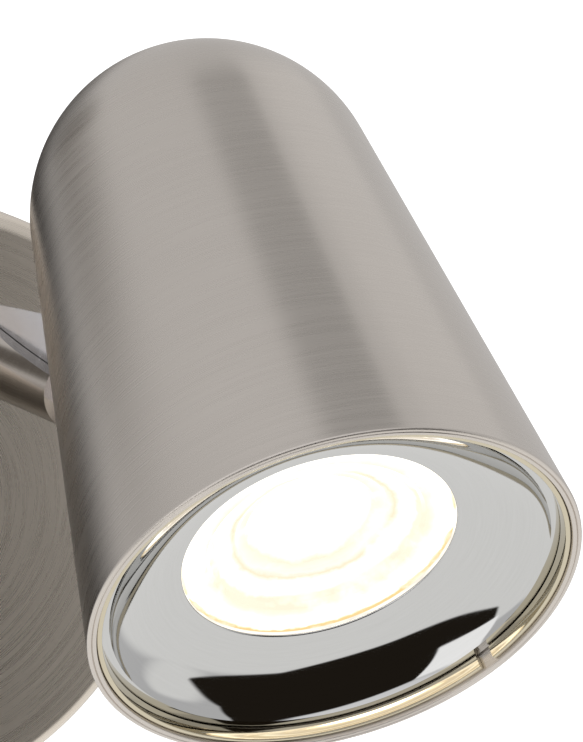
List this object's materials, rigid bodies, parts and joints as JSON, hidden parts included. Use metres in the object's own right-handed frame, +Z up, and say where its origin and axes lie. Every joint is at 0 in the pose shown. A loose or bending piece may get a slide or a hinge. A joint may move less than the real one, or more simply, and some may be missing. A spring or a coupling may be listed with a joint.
{
  "type": "wall spotlight",
  "caption": "Wall spotlight: bullet-shaped metal head with a polished bezel and pin-base lamp, tilting on a flat lug at the end of a short turning arm on a round wall plate.",
  "frame": {"origin": "middle of the round wall plate, on the wall surface", "axes": "+Y into the wall, -Y into the room along the arm, +Z up, +X to the right for someone facing the wall"},
  "size_m": [0.1082, 0.1902, 0.1455],
  "materials": {
    "satin_nickel": "satin brushed nickel plating",
    "polished_chrome": "mirror polished",
    "bright_zinc": "smooth bright zinc plating",
    "brass": "machined",
    "spring_steel": "dark blued",
    "white_plastic": "fine moulded grain",
    "nylon": "natural nylon",
    "ceramic": "unglazed steatite",
    "lamp_plastic": "smooth white moulding",
    "lens": "clear moulded lens, lit warm white",
    "board": "white solder mask with yellow chips",
    "sleeve": "woven glass fibre",
    "wire_insulation": "silicone insulation"
  },
  "bodies": {
    "wall_plate": {"canopy": "satin_nickel", "wall_strap": "bright_zinc", "canopy_screws": "satin_nickel", "terminal_block": "white_plastic", "terminal_screws": "brass", "block_screw": "bright_zinc", "earth_screw": "brass", "swivel_bush": "nylon", "stop_pin": "bright_zinc", "canopy_leads": "wire_insulation"},
    "arm": {"arm_tube": "satin_nickel", "arm_collar": "satin_nickel", "swivel_nipple": "brass", "swivel_nut": "brass", "spring_washer": "spring_steel", "stop_washer": "bright_zinc", "arm_sleeve": "sleeve", "pivot_screw": "satin_nickel", "pivot_nut": "satin_nickel", "pivot_spacers": "nylon"},
    "head": {"head_shell": "satin_nickel", "hinge_lug": "bright_zinc", "lug_screws": "bright_zinc", "lamp_bracket": "bright_zinc", "lamp_holder": "ceramic", "holder_screws": "bright_zinc", "holder_contacts": "brass", "holder_leads": "wire_insulation", "lamp_body": "lamp_plastic", "lamp_pins": "polished_chrome", "led_board": "board", "lamp_lens": "lens", "bezel": "polished_chrome", "retaining_ring": "polished_chrome"}
  },
  "joints": [
    {"name": "arm_turn", "type": "hinge", "parent": "wall_plate", "child": "arm", "pos_m": [0, -0.03, 0.033], "axis": [0, 1, 0], "range_deg": [-174, 141]},
    {"name": "head_tilt", "type": "hinge", "parent": "arm", "child": "head", "pos_m": [0, -0.052, 0.033], "axis": [0.9603, 0, -0.279], "range_deg": [-52, 50]}
  ]
}
